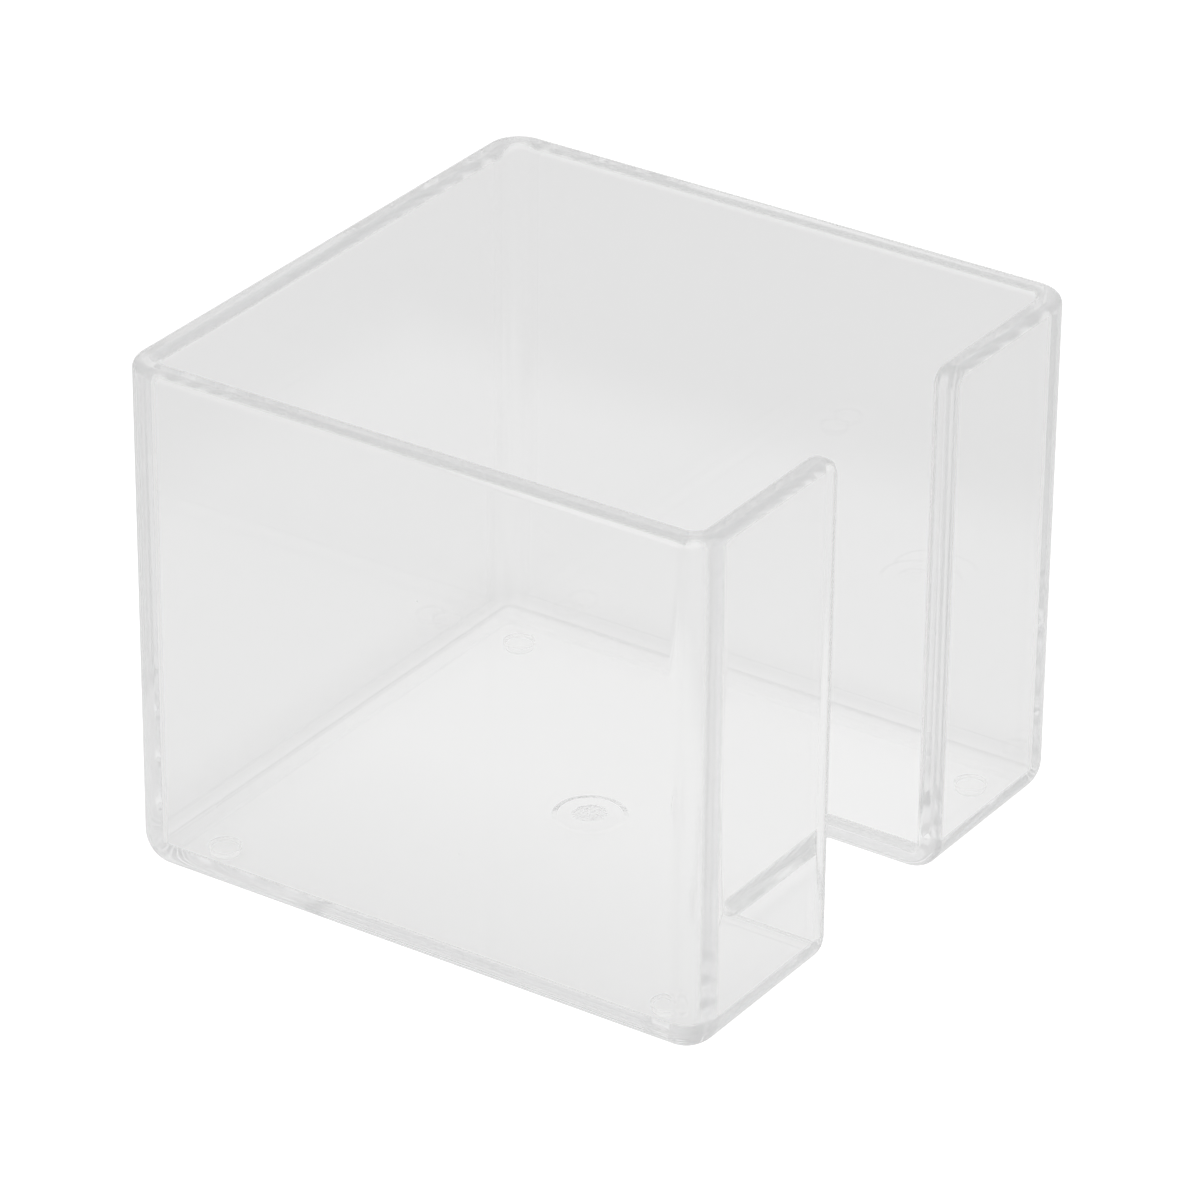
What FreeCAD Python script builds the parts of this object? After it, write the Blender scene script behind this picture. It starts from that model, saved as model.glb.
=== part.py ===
"""Clear note box: an open-topped moulded box with a front slot, on four small foot pads.

Millimetres, +Z up. The origin lies under the middle of the box, on the surface that the
feet stand on. The slot is in the front wall, which faces -Y; +X is to the right of it.
"""
import FreeCAD, Part
import math
import os

from FreeCAD import Vector

# Paper block and the well that holds it
PAPER_SIDE = 90.0          # square sheets
PLAY_SIDE = 0.5            # air beside the block at the floor, left and right
PLAY_FRONT = 1.3           # air before and behind the block at the floor
WELL_DEPTH = 79.4          # from the floor of the well up to the rim
WELL_CORNER_R = 0.6        # upright inner corners
WELL_FLOOR_R = 1.0         # hollow round between the floor and the walls

# Moulded shell
WALL = 4.1                 # the same all round, and up to the rim
FLOOR = 4.1
CORNER_R = 5.8             # upright outer corners
DRAFT_DEG = 0.1            # walls lean outwards so that the moulding leaves its tool
BASE_EDGE_R = 5.7          # rounding between the walls and the underside
RIM_EDGE_R = 1.6           # rounding along the rim, the slot and the notch
RIM_SHARE = 0.4            # most of the wall that one of its two roundings may take

# Finger slot in the front wall, carried on into the floor as a notch
SLOT_W = 30.3
SLOT_TOP_R = 3.2           # where the slot meets the rim
NOTCH_REACH = 20.2         # from the front of the floor to the end of the notch
NOTCH_CORNER_R = 1.5       # upright inner corners of the notch

# Round feet near the corners, each let into a shallow seat under the floor
FOOT_INSET = 11.0          # from the outside of the two nearest walls to a foot's middle
FOOT_D = 4.7
FOOT_H = 1.6
FOOT_BEVEL = 0.4           # bevel round the face that the foot stands on
SEAT_DEPTH = 0.5
SEAT_GAP = 0.2             # ring of air round a foot in its seat

# Gate mark: a shallow round dimple in the middle of the underside with a stub in it
GATE_D = 11.6
GATE_DEPTH = 0.5
GATE_SLOPE = 0.8           # width of the dimple's sloping edge
STUB_D = 2.4
STUB_H = 0.35

# Worked out from the values above
DRAFT = math.tan(math.radians(DRAFT_DEG))
RIM_R = min(RIM_EDGE_R, RIM_SHARE * WALL)
BASE_Z = FOOT_H - SEAT_DEPTH
FLOOR_Z = BASE_Z + FLOOR
RIM_Z = FLOOR_Z + WELL_DEPTH
WELL_W = PAPER_SIDE + 2 * PLAY_SIDE
WELL_D = PAPER_SIDE + 2 * PLAY_FRONT
SEAT_Z = BASE_Z + SEAT_DEPTH
PAST = 5.0                 # how far a cutting tool runs past what it cuts
TOUCH = 1e-6               # two places nearer than this are the same place
FOLD = math.cos(math.radians(20.0))    # faces that turn more than this meet at an edge


def drafted_block(z_low, z_high, offset, corner_r):
    """Solid that follows the well's walls, offset outwards, with rounded upright edges."""
    sides = []
    for z in (z_low, z_high):
        grow = offset + (z - FLOOR_Z) * DRAFT
        sides.append((WELL_W / 2 + grow, WELL_D / 2 + grow))
    (x_low, y_low), (x_high, y_high) = sides
    block = Part.makeWedge(
        -x_low, z_low, -y_low, -y_high, -x_high,
        x_low, z_high, y_low, y_high, x_high,
    )
    block.rotate(Vector(0, 0, 0), Vector(1, 0, 0), 90)
    upright = [edge for edge in block.Edges if edge.BoundBox.ZLength > (z_high - z_low) / 2]
    return block.makeFillet(corner_r, upright)


def edges_at_level(shape, z):
    """All edges that lie in one horizontal plane."""
    found = []
    for edge in shape.Edges:
        box = edge.BoundBox
        if abs(box.ZMin - z) < TOUCH and abs(box.ZMax - z) < TOUCH:
            found.append(edge)
    return found


def outer_block():
    """The shell's outside, with its rounded bottom edge."""
    block = drafted_block(BASE_Z, RIM_Z, WALL, CORNER_R)
    return block.makeFillet(BASE_EDGE_R, edges_at_level(block, BASE_Z))


def well():
    """The space that the paper stands in."""
    block = drafted_block(FLOOR_Z, RIM_Z, 0.0, WELL_CORNER_R)
    return block.makeFillet(WELL_FLOOR_R, edges_at_level(block, FLOOR_Z))


def front_y():
    """Where the front wall's outer face would meet the underside."""
    return -(WELL_D / 2 + WALL - FLOOR * DRAFT)


def slot_cutter():
    """Upright prism through the front wall and on into the floor."""
    height = RIM_Z - BASE_Z + 2 * PAST
    corner = Vector(-SLOT_W / 2, front_y() - PAST, BASE_Z - PAST)
    prism = Part.makeBox(SLOT_W, NOTCH_REACH + PAST, height, corner)
    end_y = front_y() + NOTCH_REACH
    upright = [edge for edge in prism.Edges if edge.BoundBox.ZLength > height / 2]
    ends = [edge for edge in upright if abs(edge.CenterOfMass.y - end_y) < TOUCH]
    return prism.makeFillet(NOTCH_CORNER_R, ends)


def slot_top_edges(shape):
    """The two short edges where the slot's sides meet the rim."""
    found = []
    for edge in edges_at_level(shape, RIM_Z):
        box = edge.BoundBox
        if abs(abs(box.XMin) - SLOT_W / 2) < TOUCH and box.XLength < TOUCH:
            found.append(edge)
    return found


def sharp_edges(shape):
    """Edges whose two faces meet at an angle: the rim's, the slot's and the notch's."""
    found = []
    for edge in shape.Edges:
        faces = shape.ancestorsOfType(edge, Part.Face)
        if len(faces) != 2:
            continue
        first, last = edge.ParameterRange
        point = edge.valueAt((first + last) / 2)
        normals = []
        for face in faces:
            u, v = face.Surface.parameter(point)
            normals.append(face.normalAt(u, v))
        if normals[0].dot(normals[1]) < FOLD:
            found.append(edge)
    return found


def turned(profile):
    """Solid of revolution about the Z axis from (radius, height) corners."""
    points = [Vector(r, 0, z) for r, z in profile]
    face = Part.Face(Part.makePolygon(points + points[:1]))
    return face.revolve(Vector(0, 0, 0), Vector(0, 0, 1), 360)


def gate_dimple():
    """Shallow dish with sloping sides that leaves the gate's stub standing in it."""
    r_top = GATE_D / 2 - GATE_SLOPE
    slope = GATE_SLOPE / GATE_DEPTH
    dish = turned([
        (0, BASE_Z - PAST),
        (GATE_D / 2 + slope * PAST, BASE_Z - PAST),
        (r_top, BASE_Z + GATE_DEPTH),
        (0, BASE_Z + GATE_DEPTH),
    ])
    stub_z = BASE_Z + GATE_DEPTH - STUB_H
    stub = Part.makeCylinder(STUB_D / 2, STUB_H + PAST, Vector(0, 0, stub_z))
    return dish.cut(stub)


def foot_places():
    """Name and middle of every foot."""
    x = WELL_W / 2 + WALL - FOOT_INSET
    y = WELL_D / 2 + WALL - FOOT_INSET
    return {
        "front_left": Vector(-x, -y, 0),
        "front_right": Vector(x, -y, 0),
        "rear_left": Vector(-x, y, 0),
        "rear_right": Vector(x, y, 0),
    }


def foot_seat(place):
    """Round recess in the underside, wider than the foot by the gap all round."""
    corner = Vector(place.x, place.y, BASE_Z - PAST)
    return Part.makeCylinder(FOOT_D / 2 + SEAT_GAP, SEAT_DEPTH + PAST, corner)


def foot_pad(place):
    """Round pad that fills its seat's depth and stands proud of the underside."""
    pad = Part.makeCylinder(FOOT_D / 2, FOOT_H, Vector(place.x, place.y, SEAT_Z - FOOT_H))
    return pad.makeChamfer(FOOT_BEVEL, edges_at_level(pad, SEAT_Z - FOOT_H))


def note_box():
    """The one-piece clear moulding."""
    shell = outer_block().cut(well()).cut(slot_cutter())
    shell = shell.makeFillet(SLOT_TOP_R, slot_top_edges(shell))
    shell = shell.makeFillet(RIM_R, sharp_edges(shell))
    for place in foot_places().values():
        shell = shell.cut(foot_seat(place))
    return shell.cut(gate_dimple())


def main():
    os.makedirs("parts", exist_ok=True)
    note_box().exportStep("parts/note_box.step")
    for name, place in foot_places().items():
        foot_pad(place).exportStep("parts/foot_" + name + ".step")


main()
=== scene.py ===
"""Dresses the clear note box: a polished moulded shell, four soft foot pads and a studio.

Metres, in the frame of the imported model: +Z up, the slot in the wall that faces -Y.
"""
import math
from itertools import product

import bmesh
import bpy
from bpy.props import FloatProperty, FloatVectorProperty, PointerProperty
from mathutils import Matrix, Vector


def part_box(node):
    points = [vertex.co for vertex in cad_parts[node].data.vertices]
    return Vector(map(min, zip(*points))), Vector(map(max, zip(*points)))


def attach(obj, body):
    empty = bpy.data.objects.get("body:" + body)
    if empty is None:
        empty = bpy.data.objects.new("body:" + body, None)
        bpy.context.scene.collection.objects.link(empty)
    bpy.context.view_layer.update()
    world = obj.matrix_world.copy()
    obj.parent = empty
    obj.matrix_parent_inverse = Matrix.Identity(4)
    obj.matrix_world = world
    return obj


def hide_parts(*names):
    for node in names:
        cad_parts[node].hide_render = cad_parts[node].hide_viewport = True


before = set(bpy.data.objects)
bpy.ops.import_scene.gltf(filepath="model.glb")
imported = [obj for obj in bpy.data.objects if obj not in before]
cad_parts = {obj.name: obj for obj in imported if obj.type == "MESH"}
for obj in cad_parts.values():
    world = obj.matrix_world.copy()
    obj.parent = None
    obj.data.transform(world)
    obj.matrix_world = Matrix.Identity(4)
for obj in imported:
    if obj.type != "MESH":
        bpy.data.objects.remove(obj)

bl_info = {
    "name": "Clear note box",
    "version": (1, 0, 0),
    "blender": (4, 5, 0),
    "location": "View3D > Sidebar > Note box",
    "description": "Makes a clear moulded note box with a finger slot, its foot pads and a studio",
    "category": "Object",
}

MM = 0.001
SHELL_NODE = "note_box"
FOOT_NODES = [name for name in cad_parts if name.startswith("foot_")]
SHELL_LOW, SHELL_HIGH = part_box(SHELL_NODE)
FOOT_LOW, FOOT_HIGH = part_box(FOOT_NODES[0])
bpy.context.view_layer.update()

# Faces across each rounding of the shell, and round each turned shape.
ROUNDING_STEPS = {
    "corner": 48,
    "well_corner": 16,
    "slot_top": 24,
    "notch_corner": 12,
    "base_edge": 32,
    "well_floor": 8,
    "rim_edge": 24,
}
SEAT_STEPS = 48
GATE_STEPS = 96
PAD_STEPS = 64
PAD_EDGE_STEPS = 8

SAME_PLACE = 0.02 * MM
BESIDE = 1 * MM                         # a corner that leans is still this near its plane
PAST = 2 * MM                           # how far a cutting tool runs past what it cuts
STEEP = 5                               # an upright edge rises this many times what it runs sideways
COPLANAR = 0.001                        # faces that meet at less than this are one face
SHARP = math.radians(35)                # edges that turn more than this aren't rounded yet
CREASE = math.radians(15)               # edges that turn more than this are shaded as edges
PAD_CREASE = math.radians(40)
FLAT = math.radians(1)                  # skin that leans less than this from an axis is flat
ROUNDED = math.radians(12)              # and more than this, rounded
HAZE_FROM = 1 * MM                      # the rounded edges' haze starts this far above the underside
HAZE_FULL = 7 * MM                      # and is whole from here up
SMEARS = 4                              # how much rougher than the skin a smear is
BARE_CELLS = 0.8                        # share of the dust's cells that hold no speck
SCAR_INNER, SCAR_OUTER = 0.5, 0.6       # the torn patch fades between these shares of its size
SCAR_RAGGED = 0.25                      # how ragged its rim is, as a share of its size

# The floor's painted light and shade change at these distances from the middle of the box, on a scale this
# long.
FLOOR_RINGS = (46 * MM, 54 * MM, 68 * MM, 112 * MM, 140 * MM)
FLOOR_REACH = 200 * MM
FLOOR_STEPS = 96

LIGHT_BOUNCES = 128                     # light that runs inside the thick clear edges turns this often
SENSOR_WIDTH = 36.0                     # millimetres, as the lens


# --------------------------------------------------------------------------------------
# Sizes and colours
# --------------------------------------------------------------------------------------

def length(name, description, default):
    return FloatProperty(name=name, description=description, default=default, unit="LENGTH", precision=5)


class ShellSizes(bpy.types.PropertyGroup):
    wall: length("Wall", "Thickness of the four walls", 4.1 * MM)
    floor: length("Floor", "Thickness of the floor", 4.1 * MM)
    corner: length("Corner", "Radius of the upright outer corners", 5.8 * MM)
    base_edge: length("Base edge", "Radius between the walls and the underside", 5.7 * MM)
    rim_edge: length("Rim edge", "Radius along the rim, the slot and the notch", 1.6 * MM)
    well_corner: length("Well corner", "Radius of the upright inner corners", 1.7 * MM)
    well_floor: length("Well floor", "Hollow radius between the floor and the walls", 0.5 * MM)
    draft: FloatProperty(
        name="Draft", description="Lean of the walls", default=math.radians(0.1), subtype="ANGLE")
    slot: length("Slot", "Width of the finger slot", 30.3 * MM)
    slot_top: length("Slot top", "Radius where the slot meets the rim", 3.2 * MM)
    notch_reach: length("Notch reach", "How far the notch runs into the floor", 20.2 * MM)
    notch_corner: length("Notch corner", "Radius of the notch's upright corners", 1.5 * MM)


class MarkSizes(bpy.types.PropertyGroup):
    seat_gap: length("Seat gap", "Ring of air round a foot pad", 0.2 * MM)
    seat_depth: length("Seat depth", "How deep a foot pad sits in the underside", 0.5 * MM)
    gate: length("Gate mark", "Diameter of the dimple under the floor", 11.6 * MM)
    gate_depth: length("Gate depth", "Depth of the dimple", 0.23 * MM)
    gate_slope: length("Gate slope", "Width of the dimple's sloping edge", 0.8 * MM)
    stub: length("Gate stub", "Diameter of the stub in the dimple", 2.4 * MM)
    stub_height: length("Stub height", "How far the stub stands down in the dimple", 0.15 * MM)
    scar: length("Scar", "Diameter of the torn patch round the stub", 5.8 * MM)
    scar_grain: length("Scar grain", "Size of the lumps in the torn patch", 0.9 * MM)
    scar_depth: length("Scar depth", "Height of those lumps", 0.20 * MM)


class FootSizes(bpy.types.PropertyGroup):
    edge: length("Edge", "Rounding of the face that the pad stands on", 0.4 * MM)
    film: length("Film", "Air between the pad's top and its seat", 0.02 * MM)


class PlasticLook(bpy.types.PropertyGroup):
    tint: FloatVectorProperty(
        name="Tint", description="Colour that each skin of the clear plastic leaves", subtype="COLOR",
        default=(0.992, 0.992, 0.991), min=0.0, max=1.0)
    bend: FloatProperty(name="Index", description="Refractive index of polystyrene", default=1.59)
    depth_tint: FloatVectorProperty(
        name="Depth tint", description="Colour that light takes on in a long way through the plastic",
        subtype="COLOR", default=(0.50, 0.51, 0.51), min=0.0, max=1.0)
    depth: FloatProperty(
        name="Depth", description="How strongly the plastic dims light, per metre", default=1.2, min=0.0)
    flow: length("Flow", "Height of the slow waves that the moulding leaves in the skin", 0.001 * MM)
    flow_size: length("Flow size", "Width of one such wave", 26 * MM)
    dust_size: length("Dust size", "Diameter of the largest dust specks", 0.28 * MM)
    dust_gap: length("Dust gap", "Usual distance from one speck to the next", 9 * MM)
    dust_haze: FloatProperty(name="Dust haze", description="Roughness of a speck", default=0.5, min=0.0)
    haze: FloatProperty(
        name="Haze", description="Roughness of the polished skin", default=0.015, min=0.0)
    edge_haze: FloatProperty(
        name="Edge haze", description="Roughness of the rounded edges, which polish less well",
        default=0.20, min=0.0)
    scar_haze: FloatProperty(
        name="Scar haze", description="Roughness of the torn patch under the floor", default=0.9, min=0.0)
    pad_bend: FloatProperty(name="Pad index", description="Refractive index of the pads", default=1.50)
    pad_haze: FloatProperty(
        name="Pad haze", description="Roughness of the pads' skin", default=0.05, min=0.0)


class StudioLook(bpy.types.PropertyGroup):
    azimuth: FloatProperty(
        name="Azimuth", description="Bearing of the camera", default=math.radians(-56.364), subtype="ANGLE")
    elevation: FloatProperty(
        name="Elevation", description="Height of the camera", default=math.radians(28.173), subtype="ANGLE")
    roll: FloatProperty(
        name="Roll", description="Turn of the camera about its view",
        default=math.radians(0.526), subtype="ANGLE")
    distance: length("Distance", "From the camera to the point it looks at", 1014.6 * MM)
    aim_x: length("Aim X", "Sideways place of the point the camera looks at", 0.10 * MM)
    aim_z: length("Aim Z", "Height of the point the camera looks at", 39.3 * MM)
    lens: FloatProperty(name="Lens", description="Focal length in millimetres", default=205.7)
    floor_radius: length("Floor radius", "Radius of the floor", 3000 * MM)
    # Painted shade: the floor under the box is painted darker towards the wall that faces -X, between these
    # two places.
    left_shade_from: length("Left from", "Place across where the floor under the box is at its darkest", -45 * MM)
    left_shade_to: length("Left to", "Place across from where it is at its palest", 5 * MM)
    # Painted pool of light: the floor's colour is made palest under the box.
    floor_painted_light: FloatProperty(
        name="Floor under", description="Paleness of the floor under the box", default=1.0)
    # Painted shade along the wall that faces -X.
    floor_painted_left_shade: FloatProperty(
        name="Floor left", description="The same along the wall that faces -X", default=0.90)
    # Painted shadow close round the box, then a paler ring and a darker floor well away, all painted into
    # the floor's colour.
    floor_painted_shadow: FloatProperty(
        name="Floor shade", description="Paleness in the box's own shade, close round it", default=0.86)
    floor_near: FloatProperty(
        name="Floor near", description="Paleness of the floor round that shade", default=0.93)
    floor_far: FloatProperty(
        name="Floor far", description="Paleness of the floor well away", default=0.875)
    floor_glow: FloatProperty(
        name="Floor glow", description="Lifts the floor to white where it is the background", default=0.4)
    plastic_glow: FloatProperty(
        name="Glow in plastic", description="The same lift where the plastic shows the background",
        default=0.02)
    rise_from: FloatProperty(
        name="Rise from", description="Height where the sky starts to brighten", default=0.15)
    rise_to: FloatProperty(
        name="Rise to", description="Height where the sky is at its brightest", default=0.5)
    horizon: FloatProperty(
        name="Horizon", description="Light from the level of the horizon", default=0.85)
    overhead: FloatProperty(name="Overhead", description="Light from above", default=1.1)


# --------------------------------------------------------------------------------------
# Mesh helpers
# --------------------------------------------------------------------------------------

def cell_skin(planes, is_solid):
    """Closed mesh round the solid cells of a lattice that the planes on X, Y and Z cut."""
    bm = bmesh.new()
    corners = {}

    def corner(index):
        if index not in corners:
            corners[index] = bm.verts.new([planes[axis][index[axis]] for axis in range(3)])
        return corners[index]

    counts = [len(line) - 1 for line in planes]
    solid = {cell for cell in product(*map(range, counts)) if is_solid(*cell)}
    for cell in solid:
        for axis, side in product(range(3), (0, 1)):
            beyond = list(cell)
            beyond[axis] += 2 * side - 1
            if tuple(beyond) in solid:
                continue
            across, up = (axis + 1) % 3, (axis + 2) % 3
            ring = []
            for a, b in ((0, 0), (1, 0), (1, 1), (0, 1)):
                index = list(cell)
                index[axis] += side
                index[across] += a
                index[up] += b
                ring.append(corner(tuple(index)))
            bm.faces.new(ring if side else ring[::-1])
    bm.normal_update()
    flat = [edge for edge in bm.edges if edge.calc_face_angle() < COPLANAR]
    bmesh.ops.dissolve_edges(bm, edges=flat, use_verts=True)
    straight = [vert for vert in bm.verts if len(vert.link_edges) == 2]
    bmesh.ops.dissolve_verts(bm, verts=straight)
    return bm


def round_edges(bm, chosen, radius, segments):
    """Rounds the chosen edges of the mesh with a circular profile."""
    edges = [edge for edge in bm.edges if chosen(edge)]
    if not edges:
        raise RuntimeError("no edge to round")
    bmesh.ops.bevel(
        bm, geom=edges, offset=radius, offset_type="OFFSET", segments=segments,
        profile=0.5, affect="EDGES", clamp_overlap=False, loop_slide=True, material=-1)


def near(value, target, reach=SAME_PLACE):
    return abs(value - target) < reach


def middle(edge):
    return (edge.verts[0].co + edge.verts[1].co) / 2


def is_upright(edge):
    a, b = edge.verts
    return abs(a.co.z - b.co.z) > STEEP * (a.co.xy - b.co.xy).length


def is_level(edge, z):
    return all(near(vert.co.z, z) for vert in edge.verts)


def new_piece(name, bm, replaced):
    """Object from a mesh, carried by the root body in place of its CAD node."""
    mesh = bpy.data.meshes.new(name)
    bm.normal_update()
    bm.to_mesh(mesh)
    bm.free()
    mesh.shade_smooth()
    piece = bpy.data.objects.new(name, mesh)
    bpy.context.scene.collection.objects.link(piece)
    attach(piece, "root")
    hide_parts(replaced)
    return piece


# --------------------------------------------------------------------------------------
# Shell
# --------------------------------------------------------------------------------------

def shell_mesh(sizes):
    """The moulded box: a lattice solid with its slot and notch, rounded edge by edge."""
    rim_x, rim_y, rim_z = SHELL_HIGH
    base_z = SHELL_LOW.z
    floor_z = base_z + sizes.floor
    half_slot = sizes.slot / 2
    lean = math.tan(sizes.draft)
    well_x, well_y = rim_x - sizes.wall, rim_y - sizes.wall
    base_y = rim_y - (rim_z - base_z) * lean
    notch_y = sizes.notch_reach - base_y
    planes = [
        [-rim_x, -well_x, -half_slot, half_slot, well_x, rim_x],
        [-rim_y, -well_y, notch_y, well_y, rim_y],
        [base_z, floor_z, rim_z],
    ]

    def is_solid(i, j, k):
        in_slot = i == 2 and j == 0
        in_notch = i == 2 and j == 1
        in_well = 0 < i < 4 and 0 < j < 3
        if k == 0:
            return not (in_slot or in_notch)
        return not (in_slot or in_well)

    bm = cell_skin(planes, is_solid)
    for vert in bm.verts:
        drop = rim_z - vert.co.z
        for axis, edge_planes in ((0, (rim_x, well_x)), (1, (rim_y, well_y))):
            if any(near(abs(vert.co[axis]), plane) for plane in edge_planes):
                vert.co[axis] -= math.copysign(drop * lean, vert.co[axis])

    def beside_slot(edge):
        return all(near(abs(vert.co.x), half_slot) for vert in edge.verts)

    def outer_corner(edge):
        mid = middle(edge)
        outside = abs(mid.x) > rim_x - sizes.wall / 2 and abs(mid.y) > rim_y - sizes.wall / 2
        return is_upright(edge) and outside

    def inner_corner(edge):
        mid = middle(edge)
        return is_upright(edge) and near(abs(mid.x), well_x, BESIDE) and near(abs(mid.y), well_y, BESIDE)

    def slot_top(edge):
        return is_level(edge, rim_z) and beside_slot(edge) and near(abs(middle(edge).x), half_slot)

    def notch_corner(edge):
        at_end = all(near(vert.co.y, notch_y) for vert in edge.verts)
        return is_upright(edge) and beside_slot(edge) and at_end

    def base_edge(edge):
        mid = middle(edge)
        reach = sizes.wall / 2 + BESIDE
        outside = abs(mid.x) > rim_x - reach or abs(mid.y) > rim_y - reach
        return is_level(edge, base_z) and outside and not beside_slot(edge)

    def floor_edge(edge):
        mid = middle(edge)
        by_wall = abs(mid.x) > well_x - 2 * BESIDE or abs(mid.y) > well_y - 2 * BESIDE
        return is_level(edge, floor_z) and by_wall and not beside_slot(edge)

    def still_sharp(edge):
        return len(edge.link_faces) == 2 and edge.calc_face_angle() > SHARP

    order = {
        "corner": outer_corner,
        "well_corner": inner_corner,
        "slot_top": slot_top,
        "notch_corner": notch_corner,
        "base_edge": base_edge,
        "well_floor": floor_edge,
        "rim_edge": still_sharp,
    }
    for size, chosen in order.items():
        round_edges(bm, chosen, getattr(sizes, size), ROUNDING_STEPS[size])
    return bm


def lathe(profile, steps):
    """Mesh of revolution about the Z axis from (radius, height) points, closed at both ends."""
    bm = bmesh.new()
    rings = []
    for radius, height in profile:
        if radius < 0.001 * MM:
            rings.append([bm.verts.new((0, 0, height))])
            continue
        turns = [2 * math.pi * k / steps for k in range(steps)]
        rings.append([bm.verts.new((radius * math.cos(t), radius * math.sin(t), height)) for t in turns])
    for low, high in zip(rings, rings[1:]):
        for k in range(steps):
            n = (k + 1) % steps
            ring = [low[k % len(low)], low[n % len(low)], high[n % len(high)], high[k % len(high)]]
            bm.faces.new(list(dict.fromkeys(ring)))
    bmesh.ops.recalc_face_normals(bm, faces=bm.faces[:])
    return bm


def cut_away(piece, tool_bm):
    """Subtracts a closed tool from the piece and keeps the result in its mesh."""
    mesh = bpy.data.meshes.new("tool")
    tool_bm.to_mesh(mesh)
    tool_bm.free()
    tool = bpy.data.objects.new("tool", mesh)
    bpy.context.scene.collection.objects.link(tool)
    cut = piece.modifiers.new("Cut", "BOOLEAN")
    cut.operation = "DIFFERENCE"
    cut.solver = "EXACT"
    cut.object = tool
    shaped = bpy.data.meshes.new_from_object(piece.evaluated_get(bpy.context.evaluated_depsgraph_get()))
    piece.modifiers.remove(cut)
    piece.data = shaped
    bpy.data.objects.remove(tool)


def foot_middles():
    """Middle of every foot pad on the floor plane, from its node."""
    places = {}
    for name in FOOT_NODES:
        low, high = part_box(name)
        places[name] = Vector(((low.x + high.x) / 2, (low.y + high.y) / 2, 0))
    return places


def seats_and_gate(marks):
    """Cutting tools for the underside: a round seat per foot, and the gate's dimple."""
    base_z = SHELL_LOW.z
    foot_r = (FOOT_HIGH.x - FOOT_LOW.x) / 2
    seat_r = foot_r + marks.seat_gap
    seat_top = base_z + marks.seat_depth
    tools = []
    for place in foot_middles().values():
        tool = lathe([
            (0, base_z - PAST),
            (seat_r, base_z - PAST),
            (seat_r, seat_top),
            (0, seat_top),
        ], SEAT_STEPS)
        bmesh.ops.translate(tool, verts=tool.verts[:], vec=place)
        tools.append(tool)
    dish_top = base_z + marks.gate_depth
    stub_low = dish_top - marks.stub_height
    flare = marks.gate_slope / marks.gate_depth * PAST
    tools.append(lathe([
        (0, base_z - PAST),
        (marks.gate / 2 + flare, base_z - PAST),
        (marks.gate / 2 - marks.gate_slope, dish_top),
        (marks.stub / 2, dish_top),
        (marks.stub / 2, stub_low),
        (0, stub_low),
    ], GATE_STEPS))
    return tools


def foot_mesh(sizes):
    """One pad about its own axis, with a rounded lower edge."""
    low, high = FOOT_LOW.z, FOOT_HIGH.z - sizes.film
    radius = (FOOT_HIGH.x - FOOT_LOW.x) / 2
    edge = sizes.edge
    turns = [math.pi / 2 * k / PAD_EDGE_STEPS for k in range(PAD_EDGE_STEPS + 1)]
    profile = [(0, low)]
    profile += [(radius - edge + edge * math.sin(t), low + edge - edge * math.cos(t)) for t in turns]
    profile += [(radius, high), (0, high)]
    return lathe(profile, PAD_STEPS)


# --------------------------------------------------------------------------------------
# Plastics
# --------------------------------------------------------------------------------------

def math_node(tree, operation, *values):
    """Math node whose inputs are sockets or plain numbers; gives its output socket."""
    node = tree.nodes.new("ShaderNodeMath")
    node.operation = operation
    for socket, value in zip(node.inputs, values):
        if isinstance(value, (int, float)):
            socket.default_value = value
        else:
            tree.links.new(value, socket)
    return node.outputs[0]


def ramp(tree, value, start, end, low=0.0, high=1.0, smooth=False):
    """Turns start..end of a socket into low..high, held at both ends; gives its output socket."""
    node = tree.nodes.new("ShaderNodeMapRange")
    if smooth:
        node.interpolation_type = "SMOOTHSTEP"
    for name, number in zip(("From Min", "From Max", "To Min", "To Max"), (start, end, low, high)):
        node.inputs[name].default_value = number
    tree.links.new(value, node.inputs["Value"])
    return node.outputs["Result"]


def split_xyz(tree, vector):
    node = tree.nodes.new("ShaderNodeSeparateXYZ")
    tree.links.new(vector, node.inputs[0])
    return node.outputs


def noise(tree, place, size, detail):
    """Soft noise whose lumps are about as wide as size."""
    node = tree.nodes.new("ShaderNodeTexNoise")
    node.inputs["Scale"].default_value = 1 / size
    node.inputs["Detail"].default_value = detail
    tree.links.new(place, node.inputs["Vector"])
    return node.outputs["Fac"]


def dust(tree, place, look):
    """1 on a sparse scatter of specks of mixed sizes, 0 between them."""
    cells = tree.nodes.new("ShaderNodeTexVoronoi")
    cells.inputs["Scale"].default_value = 2 / look.dust_gap
    tree.links.new(place, cells.inputs["Vector"])
    draw = tree.nodes.new("ShaderNodeSeparateColor")
    tree.links.new(cells.outputs["Color"], draw.inputs["Color"])
    reach = look.dust_size / look.dust_gap
    radius = math_node(tree, "MULTIPLY", draw.outputs["Red"], reach)
    inside = math_node(tree, "LESS_THAN", cells.outputs["Distance"], radius)
    kept = math_node(tree, "GREATER_THAN", draw.outputs["Green"], BARE_CELLS)
    return math_node(tree, "MULTIPLY", inside, kept)


def torn_patch(tree, place, marks):
    """1 on the torn plastic round the gate's stub, fading to 0 at its ragged rim, and its lumps."""
    reach = tree.nodes.new("ShaderNodeVectorMath")
    reach.operation = "DISTANCE"
    tree.links.new(place, reach.inputs[0])
    reach.inputs[1].default_value = (0, 0, SHELL_LOW.z + marks.gate_depth)
    lumps = noise(tree, place, marks.scar_grain, 3)
    ragged = math_node(tree, "MULTIPLY_ADD", lumps, marks.scar * SCAR_RAGGED, reach.outputs["Value"])
    inside = ramp(tree, ragged, marks.scar * SCAR_OUTER, marks.scar * SCAR_INNER, smooth=True)
    return inside, lumps


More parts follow.
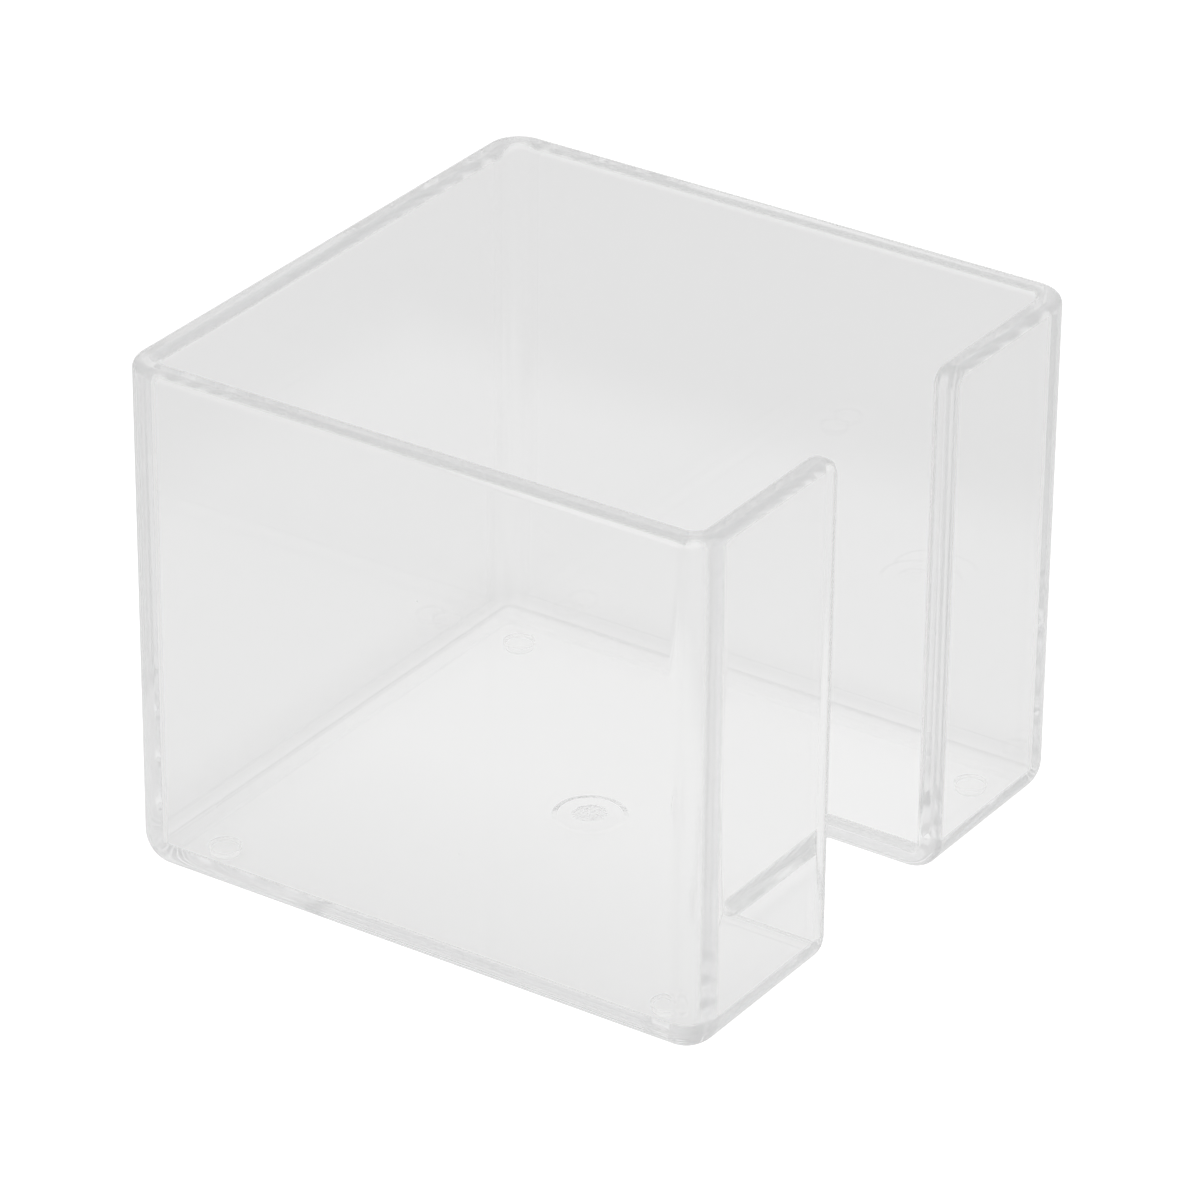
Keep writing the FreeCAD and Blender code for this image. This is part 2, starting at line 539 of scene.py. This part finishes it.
def upper_edges(tree, place, normal):
    """1 on the rounded edges, fading to 0 near the underside, and 0 on faces that look along an axis."""
    sizes = tree.nodes.new("ShaderNodeVectorMath")
    sizes.operation = "ABSOLUTE"
    tree.links.new(normal, sizes.inputs[0])
    along = split_xyz(tree, sizes.outputs["Vector"])
    most = math_node(tree, "MAXIMUM", math_node(tree, "MAXIMUM", along["X"], along["Y"]), along["Z"])
    turned = ramp(tree, most, math.cos(FLAT), math.cos(ROUNDED))
    height = split_xyz(tree, place)["Z"]
    above = ramp(tree, height, SHELL_LOW.z + HAZE_FROM, SHELL_LOW.z + HAZE_FULL)
    return math_node(tree, "MULTIPLY", turned, above)


def clear_plastic(name, look, bend, haze, marks=None):
    """Polished clear plastic with slow waves, faint smears and a little dust on its skin."""
    material = bpy.data.materials.new(name)
    material.use_nodes = True
    tree = material.node_tree
    body = tree.nodes["Principled BSDF"]
    body.inputs["Base Color"].default_value = (*look.tint, 1.0)
    body.inputs["Transmission Weight"].default_value = 1.0
    body.inputs["IOR"].default_value = bend
    where = tree.nodes.new("ShaderNodeTexCoord")
    place = where.outputs["Object"]

    smear = noise(tree, place, look.flow_size, 2)
    patches = math_node(tree, "MULTIPLY", math_node(tree, "SUBTRACT", smear, 0.5), SMEARS * haze)
    skin = math_node(tree, "MAXIMUM", patches, 0.0)
    if marks:
        edges = upper_edges(tree, place, where.outputs["Normal"])
        skin = math_node(tree, "MAXIMUM", skin, math_node(tree, "MULTIPLY", edges, look.edge_haze))
    rough = math_node(tree, "MULTIPLY_ADD", dust(tree, place, look), look.dust_haze, skin)

    height = math_node(tree, "MULTIPLY", noise(tree, place, look.flow_size, 1), look.flow)
    if marks:
        torn, lumps = torn_patch(tree, place, marks)
        ripped = math_node(tree, "MULTIPLY", torn, lumps)
        rough = math_node(tree, "MULTIPLY_ADD", ripped, look.scar_haze, rough)
        height = math_node(tree, "MULTIPLY_ADD", ripped, marks.scar_depth, height)
    tree.links.new(rough, body.inputs["Roughness"])
    waves = tree.nodes.new("ShaderNodeBump")
    waves.inputs["Strength"].default_value = 1.0
    waves.inputs["Distance"].default_value = 1.0
    tree.links.new(height, waves.inputs["Height"])
    tree.links.new(waves.outputs["Normal"], body.inputs["Normal"])

    depth = tree.nodes.new("ShaderNodeVolumeAbsorption")
    depth.inputs["Color"].default_value = (*look.depth_tint, 1.0)
    depth.inputs["Density"].default_value = look.depth
    tree.links.new(depth.outputs["Volume"], tree.nodes["Material Output"].inputs["Volume"])
    return material


# --------------------------------------------------------------------------------------
# Operators
# --------------------------------------------------------------------------------------

class MakeShell(bpy.types.Operator):
    """Make the moulded box in place of its plain solid"""
    bl_idname = "notebox.make_shell"
    bl_label = "Shell"

    def execute(self, context):
        scene = context.scene
        piece = new_piece("moulded_box", shell_mesh(scene.shell_sizes), SHELL_NODE)
        for tool in seats_and_gate(scene.mark_sizes):
            cut_away(piece, tool)
        piece.data.shade_smooth()
        piece.data.set_sharp_from_angle(angle=CREASE)
        flats = piece.modifiers.new("Flats", "WEIGHTED_NORMAL")
        flats.keep_sharp = True
        look = scene.plastic_look
        material = clear_plastic("Clear moulding", look, look.bend, look.haze, scene.mark_sizes)
        piece.data.materials.append(material)
        return {"FINISHED"}


class MakeFeet(bpy.types.Operator):
    """Make the four foot pads in place of their plain solids"""
    bl_idname = "notebox.make_feet"
    bl_label = "Foot pads"

    def execute(self, context):
        scene = context.scene
        look = scene.plastic_look
        material = clear_plastic("Clear pad", look, look.pad_bend, look.pad_haze)
        for node, place in foot_middles().items():
            pad = foot_mesh(scene.foot_sizes)
            bmesh.ops.translate(pad, verts=pad.verts[:], vec=place)
            piece = new_piece("pad_" + node, pad, node)
            piece.data.set_sharp_from_angle(angle=PAD_CREASE)
            piece.data.materials.append(material)
        return {"FINISHED"}


class MakeStage(bpy.types.Operator):
    """Make the floor, the light and the camera"""
    bl_idname = "notebox.make_stage"
    bl_label = "Studio"

    def execute(self, context):
        make_floor(context.scene.studio_look)
        make_light(context.scene.studio_look)
        make_camera(context.scene.studio_look)
        return {"FINISHED"}


def background_rays(tree):
    """1 where the eye sees a surface itself, and 1 where it sees it in or through the plastic."""
    path = tree.nodes.new("ShaderNodeLightPath").outputs
    either = math_node(tree, "MAXIMUM", path["Is Glossy Ray"], path["Is Transmission Ray"])
    return path["Is Camera Ray"], either


def painted_ring_tones(tree, far, studio):
    """Painted light and shade on the floor by distance: its tones lie in square rings round the box."""
    node = tree.nodes.new("ShaderNodeValToRGB")
    node.color_ramp.interpolation = "EASE"
    tones = (studio.floor_painted_light, studio.floor_painted_shadow, studio.floor_near, studio.floor_near, studio.floor_far)
    stops = node.color_ramp.elements
    stops.remove(stops[-1])
    stops[0].position = FLOOR_RINGS[0] / FLOOR_REACH
    for ring in FLOOR_RINGS[1:]:
        stops.new(ring / FLOOR_REACH)
    for stop, tone in zip(stops, tones):
        stop.color = (tone, tone, tone, 1.0)
    tree.links.new(math_node(tree, "DIVIDE", far, FLOOR_REACH), node.inputs["Fac"])
    return node.outputs["Color"]


def make_floor(studio):
    """Pale floor with painted light and shade: a painted pool of light under the box, where the box gathers
    light, a painted shadow round it, and white where it is the background.
    """
    bm = bmesh.new()
    bmesh.ops.create_circle(bm, cap_ends=True, segments=FLOOR_STEPS, radius=studio.floor_radius)
    mesh = bpy.data.meshes.new("studio_floor")
    bm.to_mesh(mesh)
    bm.free()
    floor = bpy.data.objects.new("studio_floor", mesh)
    bpy.context.scene.collection.objects.link(floor)
    floor.location.z = -SAME_PLACE
    material = bpy.data.materials.new("Studio floor")
    material.use_nodes = True
    tree = material.node_tree
    tree.nodes.clear()
    where = tree.nodes.new("ShaderNodeTexCoord")
    sides = tree.nodes.new("ShaderNodeVectorMath")
    sides.operation = "ABSOLUTE"
    tree.links.new(where.outputs["Object"], sides.inputs[0])
    off = split_xyz(tree, sides.outputs["Vector"])
    far = math_node(tree, "MAXIMUM", off["X"], off["Y"])
    across = split_xyz(tree, where.outputs["Object"])["X"]
    # Painted shade under the box, darkest towards the wall that faces -X.
    under = ramp(tree, across, studio.left_shade_from, studio.left_shade_to, studio.floor_painted_left_shade, studio.floor_painted_light)
    painted_floor_tones = math_node(tree, "MINIMUM", painted_ring_tones(tree, far, studio), under)
    paper = tree.nodes.new("ShaderNodeBsdfDiffuse")
    tree.links.new(painted_floor_tones, paper.inputs["Color"])
    seen, in_plastic = background_rays(tree)
    share = math_node(tree, "MULTIPLY", in_plastic, studio.plastic_glow)
    glow = tree.nodes.new("ShaderNodeEmission")
    tree.links.new(math_node(tree, "MULTIPLY_ADD", seen, studio.floor_glow, share), glow.inputs["Strength"])
    both = tree.nodes.new("ShaderNodeAddShader")
    tree.links.new(paper.outputs[0], both.inputs[0])
    tree.links.new(glow.outputs[0], both.inputs[1])
    out = tree.nodes.new("ShaderNodeOutputMaterial")
    tree.links.new(both.outputs[0], out.inputs["Surface"])
    floor.data.materials.append(material)


def make_light(studio):
    """Soft light from all round: pale at the horizon, brighter from the height of the softboxes up."""
    world = bpy.data.worlds.new("Studio")
    bpy.context.scene.world = world
    world.use_nodes = True
    tree = world.node_tree
    tree.nodes.clear()
    where = tree.nodes.new("ShaderNodeTexCoord")
    height = split_xyz(tree, where.outputs["Generated"])["Z"]
    rise = ramp(
        tree, height, studio.rise_from, studio.rise_to, studio.horizon, studio.overhead, smooth=True)
    seen, in_plastic = background_rays(tree)
    clear = math_node(tree, "MULTIPLY_ADD", in_plastic, studio.plastic_glow, rise)
    pick = tree.nodes.new("ShaderNodeMix")
    tree.links.new(seen, pick.inputs["Factor"])
    tree.links.new(clear, pick.inputs["A"])
    pick.inputs["B"].default_value = 1.0
    sky = tree.nodes.new("ShaderNodeBackground")
    tree.links.new(pick.outputs["Result"], sky.inputs["Strength"])
    out = tree.nodes.new("ShaderNodeOutputWorld")
    tree.links.new(sky.outputs[0], out.inputs["Surface"])


def make_camera(studio):
    """Camera on its bearing, looking at the aim point, with its roll."""
    a, e = studio.azimuth, studio.elevation
    back = Vector((math.sin(a) * math.cos(e), -math.cos(a) * math.cos(e), math.sin(e)))
    right = Vector((0, 0, 1)).cross(back).normalized()
    turn = Matrix.Rotation(studio.roll, 4, back)
    right = turn @ right
    up = back.cross(right)
    lens = bpy.data.cameras.new("studio_camera")
    lens.lens = studio.lens
    lens.sensor_width = SENSOR_WIDTH
    camera = bpy.data.objects.new("studio_camera", lens)
    place = Matrix((right, up, back)).transposed().to_4x4()
    place.translation = Vector((studio.aim_x, 0, studio.aim_z)) + studio.distance * back
    camera.matrix_world = place
    bpy.context.scene.collection.objects.link(camera)
    bpy.context.scene.camera = camera


class NoteBoxPanel(bpy.types.Panel):
    """Lists the pieces of the note box and its studio"""
    bl_idname = "VIEW3D_PT_notebox"
    bl_label = "Note box"
    bl_space_type = "VIEW_3D"
    bl_region_type = "UI"
    bl_category = "Note box"

    def draw(self, context):
        for maker in MAKERS:
            self.layout.operator(maker.bl_idname)


MAKERS = (MakeShell, MakeFeet, MakeStage)
GROUPS = {
    "shell_sizes": ShellSizes,
    "mark_sizes": MarkSizes,
    "foot_sizes": FootSizes,
    "plastic_look": PlasticLook,
    "studio_look": StudioLook,
}


def register():
    for group in GROUPS.values():
        bpy.utils.register_class(group)
    for maker in (*MAKERS, NoteBoxPanel):
        bpy.utils.register_class(maker)
    for name, group in GROUPS.items():
        setattr(bpy.types.Scene, name, PointerProperty(type=group))


def unregister():
    for name in GROUPS:
        delattr(bpy.types.Scene, name)
    for maker in (NoteBoxPanel, *MAKERS):
        bpy.utils.unregister_class(maker)
    for group in GROUPS.values():
        bpy.utils.unregister_class(group)


def main():
    register()
    scene = bpy.context.scene
    scene.view_settings.view_transform = "Standard"
    scene.cycles.max_bounces = LIGHT_BOUNCES
    scene.cycles.transmission_bounces = LIGHT_BOUNCES
    scene.cycles.glossy_bounces = LIGHT_BOUNCES
    scene.cycles.blur_glossy = 0.0
    bpy.ops.notebox.make_shell()
    bpy.ops.notebox.make_feet()
    bpy.ops.notebox.make_stage()


if __name__ == "__main__":
    main()
